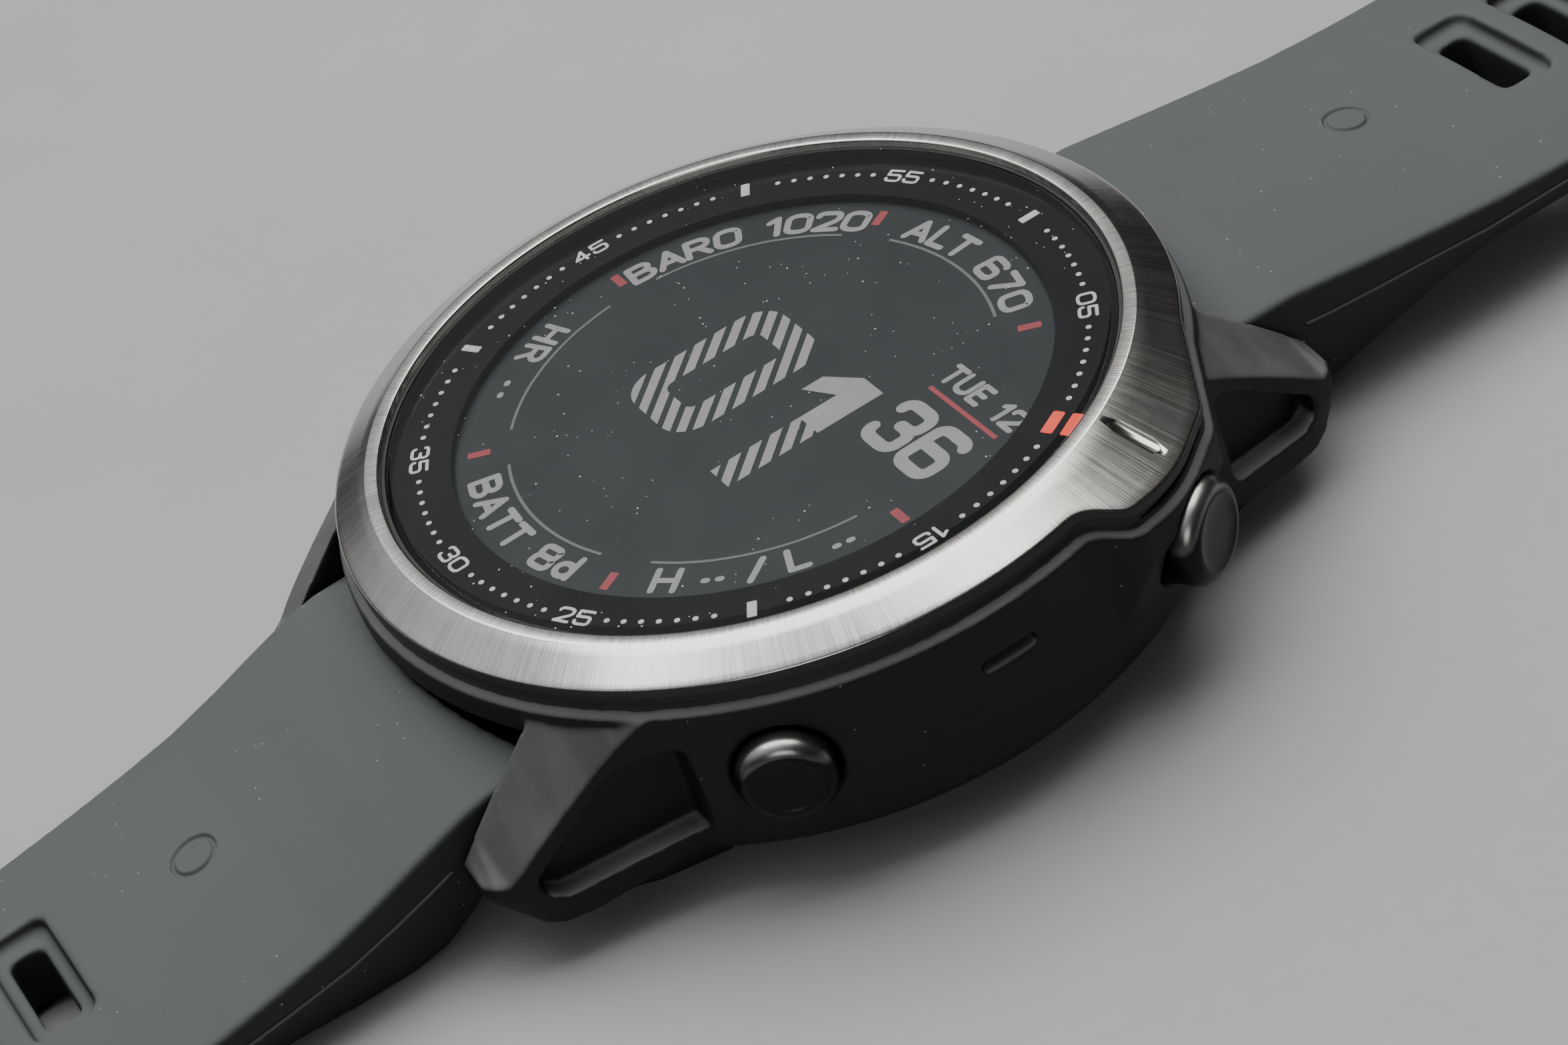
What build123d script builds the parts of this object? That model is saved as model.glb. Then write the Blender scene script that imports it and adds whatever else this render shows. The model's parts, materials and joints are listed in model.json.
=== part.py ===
from build123d import *
import math
import os

os.makedirs("parts", exist_ok=True)

# GPS running watch lying on its back with the two strap halves spread out.
# Frame: millimetres, +Z out of the dial, +Y towards 12 o'clock, +X towards 3 o'clock,
# origin at the middle of the flat sensor window that the watch rests on.

# ---------------------------------------------------------------- driving dimensions
CREST_Z = 13.82          # highest edge of the bezel above the resting plane
CREST_R = 19.1           # radius of that edge
BEZEL_R = 20.95          # outer radius of the bezel slope
SLOPE = 0.562            # fall of the bezel slope per mm of radius
LIP_T = 0.6              # thickness of the bezel lip, measured along Z
BORE_R = 18.35           # bezel bore that takes the lens
LENS_R = 18.15
LENS_Z0, LENS_Z1 = 12.92, 13.72
RING_Z0, RING_Z1 = 12.30, 12.90   # chapter ring
RING_IN = 15.0
CASE_R = 21.3            # case rim radius
RIM_DROP = 1.25          # rim surface below the bezel slope
SEAT_Z = 10.5            # floor that carries the bezel gasket
CAV_R = 16.9             # main cavity
BACK_Z = 0.9             # flat back of the case and the cover
COVER_R = 17.4
COVER_T = 0.8
WINDOW_R = 7.4           # sensor window
LUG_X0 = 10.3
# lug sections across Y: y, top at the strap side, outer top edge x and z, flank x and z, lower edge z, underside z
LUG_STATIONS = [
    (13.0, 14.0, 15.80, 12.40, 15.95, 4.4, 3.6, 0.90),
    (15.0, 14.0, 15.25, 11.35, 15.50, 4.4, 3.5, 0.90),
    (16.5, 13.1, 14.70, 10.30, 15.15, 4.4, 3.1, 0.90),
    (18.0, 11.65, 14.25, 9.20, 14.80, 4.4, 2.7, 1.20),
    (20.0, 9.75, 13.90, 7.80, 14.40, 4.4, 2.4, 1.80),
    (21.4, 8.45, 13.65, 6.75, 14.10, 4.4, 2.4, 2.15),
    (22.3, 7.55, 13.50, 6.00, 13.80, 4.4, 2.8, 2.50),
    (23.1, 6.75, 13.20, 5.35, 13.45, 4.5, 3.8, 3.10),
    (23.7, 6.10, 12.75, 5.30, 12.90, 4.7, 4.3, 3.80),
    (24.15, 5.55, 12.00, 5.20, 12.10, 4.9, 4.7, 4.45),
]
PIN_Y, PIN_Z, PIN_R = 21.6, 5.5, 1.0
RECESS_R = 18.9          # case wall between the lugs
RIDGE_Z = 9.9            # underside of the rim between the lugs
STRAP_W = 20.0
LONG_TIP = 134.6         # far end of the long strap from the dial centre
BAR_Y, BAR_Z, BAR_R = 92.0, 3.4, 0.75
BUTTON_Z = 7.4
CAPS = {60.0: (2.6, 23.7)}            # azimuth: cap radius, distance of its face; the upper right one sits further out
CAP = (2.35, 22.5)
BUTTON_TRAVEL = 0.45
BUTTONS = {"start": 60.0, "back": 120.0, "down": 240.0, "up": 270.0, "light": 300.0}
HOLE_PITCH = 4.85
HUB_R = 2.4


def rev(pts):
    """Solid of revolution about Z from (radius, z) points."""
    return revolve(Plane.XZ * make_face(Polyline(*pts, close=True)), Axis.Z)


def ring(r0, r1, z0, z1):
    out = Pos(0, 0, z0) * Cylinder(r1, z1 - z0, align=(Align.CENTER, Align.CENTER, Align.MIN))
    if r0 > 0:
        out -= Pos(0, 0, z0 - 1) * Cylinder(r0, z1 - z0 + 2, align=(Align.CENTER, Align.CENTER, Align.MIN))
    return out


def disc(r, z0, z1, x=0.0, y=0.0):
    return Pos(x, y, z0) * Cylinder(r, z1 - z0, align=(Align.CENTER, Align.CENTER, Align.MIN))


def box(x0, x1, y0, y1, z0, z1):
    return Pos((x0 + x1) / 2, (y0 + y1) / 2, (z0 + z1) / 2) * Box(x1 - x0, y1 - y0, z1 - z0)


def rod_x(y, z, r, x0, x1):
    return Pos(x0, y, z) * Rot(0, 90, 0) * Cylinder(r, x1 - x0, align=(Align.CENTER, Align.CENTER, Align.MIN))


def prism_x(pts, x0, x1, fillets=()):
    """Prism along X from (y, z) points; fillets is a list of (index, radius)."""
    face = make_face(Polyline(*pts, close=True))
    for i, r in fillets:
        v = min(face.vertices(), key=lambda q: (q.X - pts[i][0]) ** 2 + (q.Y - pts[i][1]) ** 2)
        face = fillet(v, r)
    plane = Plane(origin=(x0, 0, 0), x_dir=(0, 1, 0), z_dir=(1, 0, 0))
    return extrude(plane * face, x1 - x0)


def radial(az):
    a = math.radians(az)
    return Plane(origin=(0, 0, BUTTON_Z), x_dir=(math.cos(a), -math.sin(a), 0), z_dir=(math.sin(a), math.cos(a), 0))


def on_axis(az, r0, shape):
    return radial(az).location * Pos(0, 0, r0) * shape


def cyl(r, h):
    return Cylinder(r, h, align=(Align.CENTER, Align.CENTER, Align.MIN))


def both(shape):
    """The shape and its mirror image in the XZ plane."""
    return shape + mirror(shape, about=Plane.XZ)


def solid_of(shape):
    s = shape.solids()
    return s[0] if len(s) == 1 else Compound(children=list(s))


def save(shape, name):
    s = shape.solids()
    out = s[0] if len(s) == 1 else Compound(children=list(s))
    export_step(out, f"parts/{name}.step")


# ---------------------------------------------------------------- outline of the bezel and its guard
GUARD = [(8.0, 12.0), (12.31, 16.95), (17.65, 14.05), (20.35, 10.6), (21.1, 7.55), (20.0, 5.2), (16.0, 3.0)]
GUARD_FILLETS = [((17.65, 14.05), 2.2), ((20.35, 10.6), 9.0), ((21.1, 7.55), 1.1)]


def outline(grow=0.0):
    g = make_face(Polyline(*GUARD, close=True))
    for (x, y), r in GUARD_FILLETS:
        v = min(g.vertices(), key=lambda q: (q.X - x) ** 2 + (q.Y - y) ** 2)
        g = fillet(v, r)
    face = Circle(BEZEL_R) + g
    # soften the two places where the guard leaves the circle
    for target, r in (((12.31, 16.95), 8.0), ((20.25, 5.6), 2.2)):
        vs = sorted(face.vertices(), key=lambda q: (q.X - target[0]) ** 2 + (q.Y - target[1]) ** 2)
        try:
            face = fillet(vs[0], r)
        except Exception:
            pass
    if grow:
        face = offset(face, amount=grow, kind=Kind.ARC)
    return face


def cone_below(drop, r_max=26.0):
    """Everything under the bezel slope lowered by drop."""
    top = CREST_Z - drop
    return rev([(0, -1), (r_max, -1), (r_max, top - SLOPE * (r_max - CREST_R)), (CREST_R, top), (0, top)])


# ---------------------------------------------------------------- bezel
lip = rev([
    (BORE_R, 13.0), (BORE_R, CREST_Z - 0.1), (BORE_R + 0.1, CREST_Z), (CREST_R, CREST_Z),
    (26.0, CREST_Z - SLOPE * (26.0 - CREST_R)), (26.0, CREST_Z - LIP_T - SLOPE * (26.0 - CREST_R)),
    (CREST_R, CREST_Z - LIP_T), (19.0, 13.0),
])
bez_face = outline()
bezel = lip & (Pos(0, 0, 9.0) * extrude(bez_face, 6.0))
bezel += rev([(17.3, 11.75), (17.3, RING_Z0), (BORE_R, RING_Z0), (BORE_R, 13.3), (19.75, 12.85), (19.75, 11.2), (18.4, 11.2), (18.4, 11.75)])
# engraved slot across the guard, pointing away from the dial centre
slot_az = 60.5
slot = Pos(0, 0, 0) * make_face(Polyline((-0.32, 0), (0.32, 0), (0.32, 2.3), (-0.32, 2.3), close=True))
slot = fillet(slot.vertices(), 0.31)
a = math.radians(slot_az)
slot_plane = Plane(origin=(19.55 * math.sin(a), 19.55 * math.cos(a), 0), x_dir=(math.cos(a), -math.sin(a), 0), z_dir=(0, 0, 1))
slot_cut = extrude(slot_plane * slot, 15.0) - cone_below(0.28)
slot_cut = slot_cut & (Pos(0, 0, 11.0) * extrude(bez_face, 4.0))
bezel -= slot_cut
save(bezel, "bezel")

bezel_gasket = Pos(0, 0, 10.85) * Torus(19.0, 0.345)
save(bezel_gasket, "bezel_gasket")

lens = rev([(0, LENS_Z0), (LENS_R, LENS_Z0), (LENS_R, LENS_Z1 - 0.35), (LENS_R - 0.35, LENS_Z1), (0, LENS_Z1)])
save(lens, "lens")
save(ring(LENS_R + 0.01, BORE_R - 0.005, LENS_Z0, LENS_Z1 - 0.3), "lens_gasket")
chapter = rev([(RING_IN + 0.25, RING_Z0), (BORE_R - 0.03, RING_Z0), (BORE_R - 0.03, RING_Z1), (RING_IN, RING_Z1), (RING_IN, RING_Z1 - 0.25)])
save(chapter, "chapter_ring")
display = ring(0, 16.2, 11.2, 12.28) + disc(14.9, 12.2, 12.45)
save(display, "display_module")
flex = box(-3.5, 3.5, -15.9, -11.5, 9.31, 9.46) + box(-3.5, 3.5, -15.9, -15.75, 9.31, 11.15) + box(-3.5, 3.5, -15.9, -12.0, 11.0, 11.15)
save(flex, "display_flex")
inner = ring(13.6, 17.1, 9.4, 11.15) - box(-4.0, 4.0, -17.5, -13.0, 9.0, 11.5)
save(inner, "inner_frame")
ant = ring(17.12, 17.27, 9.6, 11.0) & extrude(make_face(Polyline((0, 0), (-15, 18.0), (0, 24), (15, 18.0), close=True)), 14)
save(ant, "antenna_strip")

# ---------------------------------------------------------------- case body
under = make_face(
    Polyline((17.6, BACK_Z), (0, BACK_Z), (0, 14.5), (CASE_R, 14.5), (21.35, 9.0), (21.5, 6.6), (21.45, 5.0))
    + ThreePointArc((21.45, 5.0), (20.3, 2.25), (17.6, BACK_Z))
)
drum = revolve(Plane.XZ * under, Axis.Z)
case_face = outline(CASE_R - BEZEL_R)
guard = (Pos(0, 0, 4.5) * extrude(case_face, 10.0)) & rev([(0, 4.5), (20.9, 4.5), (21.35, 5.2), (23.1, 9.3), (23.6, 14.5), (0, 14.5)])

def lug_section(y, z_in, x_e, z_e, x_s, z_s, z_low, z_bot):
    return [(LUG_X0, y, z_bot), (LUG_X0, y, z_in), (x_e, y, z_e), (x_s, y, z_s), (x_s - 0.15, y, z_low), (max(x_s - 1.9, LUG_X0 + 0.6), y, z_bot)]


def skin(rows):
    """Closed solid over matching point rows, made of flat triangles with a flat cap at each end."""
    faces = [make_face(Polyline(*rows[0], close=True)), make_face(Polyline(*rows[-1], close=True))]
    for r0, r1 in zip(rows, rows[1:]):
        for i in range(len(r0)):
            j = (i + 1) % len(r0)
            for tri in ((r0[i], r0[j], r1[j]), (r0[i], r1[j], r1[i])):
                faces.append(make_face(Polyline(*tri, close=True)))
    return Solid(Shell(faces))


lug = skin([lug_section(*st) for st in LUG_STATIONS])
if lug.volume < 0:
    lug = -lug
lug = lug + mirror(lug, about=Plane.YZ)
lug = both(lug)

case = drum + guard + lug
case = case & cone_below(RIM_DROP, 30.0)
# recess between the lugs for the strap ends
gap = box(-LUG_X0, LUG_X0, 8.0, 30.0, -1.0, RIDGE_Z) - disc(RECESS_R, -2.0, 12.0)
case -= both(gap)
# cavity, from the back opening up to the bezel seat
case -= disc(14.0, 0.0, 4.0)
case -= disc(CAV_R, 3.0, 9.35)
case -= disc(17.4, 9.3, SEAT_Z)
case -= disc(19.85, SEAT_Z, 15.0)
# groove under the bezel lip
case -= Pos(0, 0, 10.9) * extrude(outline(-0.25), 5.0)
# rear cover seat with four ears, gasket groove and screw holes
SCREWS = [(11.9, 15.2), (-11.9, 15.2), (11.9, -15.2), (-11.9, -15.2)]
cover = disc(COVER_R, BACK_Z, BACK_Z + COVER_T)
seat = disc(COVER_R + 0.05, BACK_Z - 1, BACK_Z + COVER_T)
for x, y in SCREWS:
    turn = Rot(0, 0, math.degrees(math.atan2(y, x)))
    cover += disc(1.45, BACK_Z, BACK_Z + COVER_T, x, y) + turn * box(15.0, math.hypot(x, y), -1.25, 1.25, BACK_Z, BACK_Z + COVER_T)
    seat += disc(1.5, BACK_Z - 1, BACK_Z + COVER_T, x, y) + turn * box(15.0, math.hypot(x, y), -1.3, 1.3, BACK_Z - 1, BACK_Z + COVER_T)
case -= seat
case -= ring(14.5, 15.3, 1.6, 2.25)
for x, y in SCREWS:
    case -= disc(0.8, 1.0, 5.2, x, y)
# buttons
for az in BUTTONS.values():
    case -= on_axis(az, 15.0, cyl(1.05, 8.0))
    cap_r = CAPS.get(az, CAP)[0]
    case -= on_axis(az, 19.85, cyl(cap_r + 0.1, 6.0))
    flank = 22.1 if az == 60.0 else 21.1
    case -= on_axis(az, flank, Cone(cap_r + 0.1, cap_r + 0.6, 0.6, align=(Align.CENTER, Align.CENTER, Align.MIN)))
# triangular pockets in the outer flank of every lug
def lug_pocket(y0):
    p = prism_x([(y0, 4.5), (20.9, 3.95), (21.8, 4.45), (21.9, 5.3), (20.1, 6.75), (18.0, 8.35), (16.9, 9.2), (y0, 9.4)], 10.0, 20.0,
                [(0, 0.5), (1, 0.5), (2, 0.35), (3, 0.35), (7, 0.3)])
    return p & extrude(make_face(Polyline((14.85, 12.0), (12.45, 23.0), (25, 23.0), (25, 12.0), close=True)), 14.0)


pocket = lug_pocket(14.0)
case -= mirror(pocket, about=Plane.YZ)
case -= both(pocket) & box(-30, 30, -30, 0, 0, 20)
case -= mirror(mirror(pocket, about=Plane.YZ), about=Plane.XZ)
case -= lug_pocket(16.1)
# pressure port: a slot in the flank and a blind bore from inside
port_slot = Plane(origin=(19.2, 0, 8.8), x_dir=(0, 1, 0), z_dir=(1, 0, 0)) * extrude(SlotOverall(3.0, 0.55), 4.0)
case -= port_slot
case -= Pos(15.5, 0, 8.2) * Rot(0, 90, 0) * cyl(0.9, 3.8)
# strap pins are pressed into blind holes in the lugs
pins = None
for s in (1, -1):
    case -= rod_x(s * PIN_Y, PIN_Z, PIN_R, -12.2, 12.2)
    p = rod_x(s * PIN_Y, PIN_Z, PIN_R - 0.005, -12.15, 12.15)
    pins = p if pins is None else pins + p
save(pins, "lug_pins")
save(case, "case_body")

# ---------------------------------------------------------------- rear cover, sensor, charging socket
PORT_Y = -11.2
cover -= disc(WINDOW_R + 0.05, 0, 3)
cover -= disc(2.55, 0, 3, 0, PORT_Y)
screws = None
for x, y in SCREWS:
    cover -= disc(0.85, 0, 3, x, y)
    cover -= Pos(x, y, BACK_Z) * Cone(1.25, 0.85, 0.4, align=(Align.CENTER, Align.CENTER, Align.MIN))
    s = Pos(x, y, BACK_Z + 0.02) * Cone(1.2, 0.79, 0.38, align=(Align.CENTER, Align.CENTER, Align.MIN))
    s += disc(0.79, BACK_Z + 0.3, 5.0, x, y)
    s -= Pos(x, y, BACK_Z) * extrude(RegularPolygon(0.55, 6), 0.45)
    screws = s if screws is None else screws + s
save(cover, "rear_cover")
save(screws, "rear_screws")
save(ring(14.52, 15.28, BACK_Z + COVER_T, 2.24), "rear_gasket")
window = rev([(0, 0), (WINDOW_R - 0.5, 0), (WINDOW_R - 0.15, 0.15), (WINDOW_R, 0.5), (WINDOW_R, 1.7), (8.3, 1.7), (8.3, 2.1), (6.7, 2.1), (6.7, 1.1), (0, 1.1)])
save(window, "sensor_window")
save(disc(6.6, 1.72, 2.3), "sensor_board")
leds = None
for x, y, w, h in ((0, 0, 2.6, 2.6), (3.6, 0, 1.4, 1.4), (-3.6, 0, 1.4, 1.4), (0, 3.6, 1.4, 1.4)):
    b = box(x - w / 2, x + w / 2, y - h / 2, y + h / 2, 1.15, 1.71)
    leds = b if leds is None else leds + b
save(leds, "sensor_emitters")
port = disc(2.5, BACK_Z, 2.95, 0, PORT_Y) - disc(2.1, BACK_Z - 1, 2.2, 0, PORT_Y)
cpins = None
for dx, dy in ((0.9, 0.9), (-0.9, 0.9), (0.9, -0.9), (-0.9, -0.9)):
    port -= disc(0.36, 2.0, 3.2, dx, PORT_Y + dy)
    q = disc(0.35, 2.12, 3.0, dx, PORT_Y + dy)
    cpins = q if cpins is None else cpins + q
save(port, "charge_socket")
save(cpins, "charge_contacts")

# ---------------------------------------------------------------- pressure sensor
save(Pos(19.0, 0, 8.2) * Rot(0, 90, 0) * cyl(0.86, 0.2), "pressure_membrane")
save(Pos(17.0, 0, 8.2) * Rot(0, 90, 0) * cyl(0.8, 1.9), "pressure_sensor")

# ---------------------------------------------------------------- electronics stack
chassis = disc(16.7, 3.05, 8.5)
chassis -= box(-11.15, 11.15, -12.15, 7.15, 3.55, 9.0)
chassis -= box(-9.0, 9.0, -10.0, 5.0, 2.0, 4.0)
MOTOR = (-4.5, 11.35)
BUZZ = (4.7, 11.3)
chassis -= disc(4.1, 3.55, 9.0, *MOTOR)
chassis -= disc(3.7, 3.55, 9.0, *BUZZ)
for az in BUTTONS.values():
    chassis -= on_axis(az, 13.8, Pos(0, 0, 2.0) * Box(5.0, 5.0, 4.0) + Pos(0, 1.0, 2.0) * Box(5.0, 5.0, 4.0))
save(chassis, "chassis")
battery = Pos(0, -2.5, 5.775) * Box(22.0, 19.0, 4.4)
battery = fillet(battery.edges().filter_by(Axis.Z), 1.5)
save(battery, "battery")
save(disc(4.0, 3.56, 3.95, *MOTOR) + disc(0.4, 3.9, 5.8, *MOTOR), "motor_base")
can = disc(4.0, 3.95, 6.2, *MOTOR) - disc(3.75, 3.9, 5.95, *MOTOR)
save(can, "motor_can")
rotor = (disc(3.3, 4.3, 5.5, *MOTOR) & box(MOTOR[0] - 4, MOTOR[0] + 4, MOTOR[1] - 4, MOTOR[1], 4, 6)) + disc(1.0, 4.3, 5.5, *MOTOR)
rotor -= disc(0.45, 4, 6, *MOTOR)
save(rotor, "motor_rotor")
save(disc(3.6, 3.56, 5.0, *BUZZ), "buzzer")
board = disc(15.6, 8.5, 9.3)
save(board, "main_board")
shield = Pos(2.0, 1.0, 9.86) * Box(13.0, 11.0, 1.1)
shield = fillet(shield.edges().filter_by(Axis.Z), 0.6)
save(shield, "shield_can")

# ---------------------------------------------------------------- buttons
switches = None
for name, az in BUTTONS.items():
    cap_r, cap_front = CAPS.get(az, CAP)
    cap_face = make_face(Polyline((0, 0), (cap_r, 0), (cap_r, cap_front - 20.35), (0, cap_front - 20.35), close=True))
    v = max(cap_face.vertices(), key=lambda q: q.X + q.Y)
    cap_face = fillet(v, 0.8)
    cap = revolve(Plane.XZ * cap_face, Axis.Z)
    button = on_axis(az, 20.35, cap)
    shaft = on_axis(az, 15.6, cyl(1.0, 5.0))
    shaft -= on_axis(az, 18.0, cyl(3.0, 0.6) - Pos(0, 0, -1) * cyl(0.75, 3.0))
    shaft -= on_axis(az, 16.5, cyl(3.0, 0.32) - Pos(0, 0, -1) * cyl(0.7, 3.0))
    save(button + shaft, f"button_{name}")
    save(on_axis(az, 18.02, cyl(1.03, 0.56) - Pos(0, 0, -1) * cyl(0.76, 3.0)), f"button_{name}_oring")
    save(on_axis(az, 16.51, cyl(1.9, 0.3) - Pos(0, 0, -1) * cyl(0.71, 3.0) - Pos(0, -2.0, 0) * Box(1.3, 4.0, 3.0)), f"button_{name}_clip")
    sw = on_axis(az, 14.0, Pos(0, 0.3, 0.45) * Box(3.0, 2.4, 0.9) + cyl(0.9, 1.1))
    switches = sw if switches is None else switches + sw
save(switches, "button_switches")

# ---------------------------------------------------------------- straps
XZ_AT = lambda y: Plane(origin=(0, y, 0), x_dir=(1, 0, 0), z_dir=(0, -1, 0))


def section(y, w, zt, zb, seam, crown, inset):
    zs = max(zt - seam, zb + 0.25)
    wire = Polyline((w, zt), (w, zs), (w - inset, zb), (-w + inset, zb), (-w, zs), (-w, zt)) + ThreePointArc((-w, zt), (0, zt + crown), (w, zt))
    return XZ_AT(y) * make_face(wire)


def interp(table, y):
    for (y0, v0), (y1, v1) in zip(table, table[1:]):
        if y <= y1:
            t = 0 if y1 == y0 else (y - y0) / (y1 - y0)
            return v0 + (v1 - v0) * max(0.0, min(1.0, t))
    return table[-1][1]


def strap_blank(stations, top, bottom, width, seam, crown, inset):
    faces = [section(y, interp(width, y), interp(top, y), interp(bottom, y), interp(seam, y), interp(crown, y), interp(inset, y)) for y in stations]
    return loft(faces, ruled=True)


LONG_TOP = [(18.0, 8.1), (21.2, 8.1), (23.0, 7.75), (25.5, 6.95), (28.0, 6.05), (30.7, 5.2), (34.0, 4.55), (37.0, 4.05), (41.2, 3.45), (46.0, 3.1), (52.0, 2.9), (136.0, 2.9)]
LONG_BOT = [(18.0, 2.9), (21.6, 2.9), (22.7, 2.5), (24.2, 1.3), (26.0, 0.3), (28.0, 0.0), (31.0, 0.1), (34.0, 0.4), (37.0, 0.65), (41.2, 0.5), (46.0, 0.25), (52.0, 0.0), (136.0, 0.0)]
LONG_W = [(18.0, 10.0), (50.0, 10.0), (118.0, 9.0), (136.0, 9.0)]
SHORT_TOP = [(18.0, 8.25), (22.0, 8.25), (24.4, 8.2), (27.0, 7.8), (29.7, 7.4), (32.0, 7.1), (35.8, 6.55), (41.1, 6.2), (46.0, 6.05), (52.0, 5.55), (60.0, 4.45), (64.0, 4.3), (96.0, 4.3)]
SHORT_BOT = [(18.0, 2.9), (21.6, 2.9), (22.7, 2.5), (24.2, 1.5), (26.4, 1.1), (30.0, 1.9), (33.5, 2.8), (36.9, 3.4), (41.1, 3.4), (46.0, 3.3), (52.0, 2.8), (60.0, 1.7), (64.0, 1.55), (96.0, 1.55)]
SHORT_W = [(18.0, 10.0), (50.0, 10.0), (62.0, 9.3), (96.0, 9.3)]
SEAM = [(18.0, 2.1), (26.0, 2.0), (34.0, 1.5), (41.0, 1.1), (140.0, 1.1)]
CROWN = [(18.0, 1.25), (46.0, 1.25), (62.0, 0.75), (140.0, 0.75)]
INSET = [(18.0, 1.3), (30.0, 1.3), (41.0, 1.0), (140.0, 1.0)]


def carrier_blank(grow=0.0):
    c = rod_x(PIN_Y, PIN_Z, 2.2 + grow, -8.0 - grow, 8.0 + grow)
    c += box(-8.0 - grow, 8.0 + grow, PIN_Y, 29.2 + grow, 2.5 - grow, 5.3 + grow)
    return c


pin_way = rod_x(PIN_Y, PIN_Z, PIN_R + 0.05, -20, 20) + box(-20, 20, PIN_Y - PIN_R - 0.05, PIN_Y + PIN_R + 0.05, -2.0, PIN_Z)
# everything inside this shape is removed at the case end: what lies inwards of the hub and under the shoulder
end_trim = box(-20, 20, 10.0, PIN_Y, -3.0, PIN_Z + 2.2) - rod_x(PIN_Y, PIN_Z, HUB_R, -20, 20)
arc_trim = disc(20.9, -3.0, 20.0)
tab_window = box(-3.4, 3.4, 23.2, 27.4, -2.0, 3.2)


def strap_from(blank, holes, edge_of):
    s = blank - arc_trim - end_trim
    s -= carrier_blank()
    s -= pin_way
    s -= tab_window
    for y in holes:
        zt = edge_of(y)
        s -= Pos(0, y, 0) * extrude(RectangleRounded(5.7, 1.8, 0.45), 12.0) + Pos(0, y, -3) * extrude(RectangleRounded(5.7, 1.8, 0.45), 12.0)
        s -= Pos(0, y, zt + 0.3) * extrude(RectangleRounded(8.0, 3.2, 0.7), 6.0)
    return s


long_blank = strap_blank([18.0, 21.6, 23.0, 24.2, 26.0, 28.0, 31.0, 34.0, 37.0, 41.2, 46.0, 52.0, 84.0, 118.0, LONG_TIP],
                         LONG_TOP, LONG_BOT, LONG_W, SEAM, CROWN, INSET)
tip = make_face(Polyline((-10.4, 10), (10.4, 10), (10.4, LONG_TIP), (-10.4, LONG_TIP), close=True))
tv = [v for v in tip.vertices() if v.Y > LONG_TIP - 1]
tip = fillet(tv, 7.5)
long_blank = long_blank & (Pos(0, 0, -3) * extrude(tip, 20.0))
LONG_HOLES = [42.45 + HOLE_PITCH * k for k in range(17)]
strap_long = strap_from(long_blank, LONG_HOLES, lambda y: interp(LONG_TOP, y) + interp(CROWN, y) - 1.2)
save(mirror(strap_long, about=Plane.XZ), "strap_long")

short_blank = strap_blank([18.0, 21.6, 23.0, 24.2, 26.4, 30.0, 33.5, 36.9, 41.1, 46.0, 52.0, 60.0, 64.0, BAR_Y],
                          SHORT_TOP, SHORT_BOT, SHORT_W, SEAM, CROWN, INSET)
short_blank += rod_x(BAR_Y, BAR_Z, 1.85, -9.3, 9.3) & box(-9.3, 9.3, BAR_Y - 1, BAR_Y + 2.5, 0, 8)
short_blank -= box(-9.4, 9.4, BAR_Y - 1.9, BAR_Y + 3, BAR_Z + 1.85, 8.0)
SHORT_HOLES = [44.1 + HOLE_PITCH * k for k in range(4)]
strap_short = strap_from(short_blank, SHORT_HOLES, lambda y: interp(SHORT_TOP, y) + interp(CROWN, y) - 1.2)
strap_short -= rod_x(BAR_Y, BAR_Z, BAR_R + 0.05, -12, 12)
strap_short -= box(-2.9, 2.9, BAR_Y - 3.8, BAR_Y + 3, 0, 8)
save(strap_short, "strap_short")

carrier = carrier_blank() - pin_way
carrier -= box(-7.05, 7.05, PIN_Y + 0.9, 28.6, 3.0, 4.4)
carrier -= tab_window
latch = box(-7.0, 7.0, 21.0, 25.6, 3.05, 4.35) + box(-2.9, 2.9, 23.6, 25.4, 1.75, 3.1)
for k in range(3):
    latch -= box(-3.0, 3.0, 23.85 + 0.55 * k, 24.1 + 0.55 * k, 1.0, 1.95)
zig = Polyline((-4.6, 25.9), (4.6, 26.4), (-4.6, 27.0), (4.6, 27.6), (-4.6, 28.25))
spring = Pos(0, 0, 3.2) * extrude(trace(zig, 0.2), 1.0)
for tag, flip in (("short", False), ("long", True)):
    for shape, node in ((carrier, "latch_carrier_"), (latch, "latch_"), (spring, "latch_spring_")):
        save(mirror(shape, about=Plane.XZ) if flip else shape, node + tag)

# ---------------------------------------------------------------- keepers
def keeper(y0, y1):
    outer = make_face(Polyline((-11.1, 0), (11.1, 0), (11.1, 9.5), (-11.1, 9.5), close=True))
    outer = fillet(outer.vertices(), 1.9)
    inner_f = make_face(Polyline((-9.65, 1.3), (9.65, 1.3), (9.65, 8.2), (-9.65, 8.2), close=True))
    inner_f = fillet(inner_f.vertices(), 0.6)
    k = extrude(XZ_AT(y1) * (outer - inner_f), y1 - y0)
    return k


kf = keeper(81.6, 86.6)
kf += box(-4.0, 4.0, 81.6, 86.6, 1.2, 1.55)
save(kf, "keeper_fixed")
save(keeper(70.8, 75.8), "keeper_free")

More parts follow.
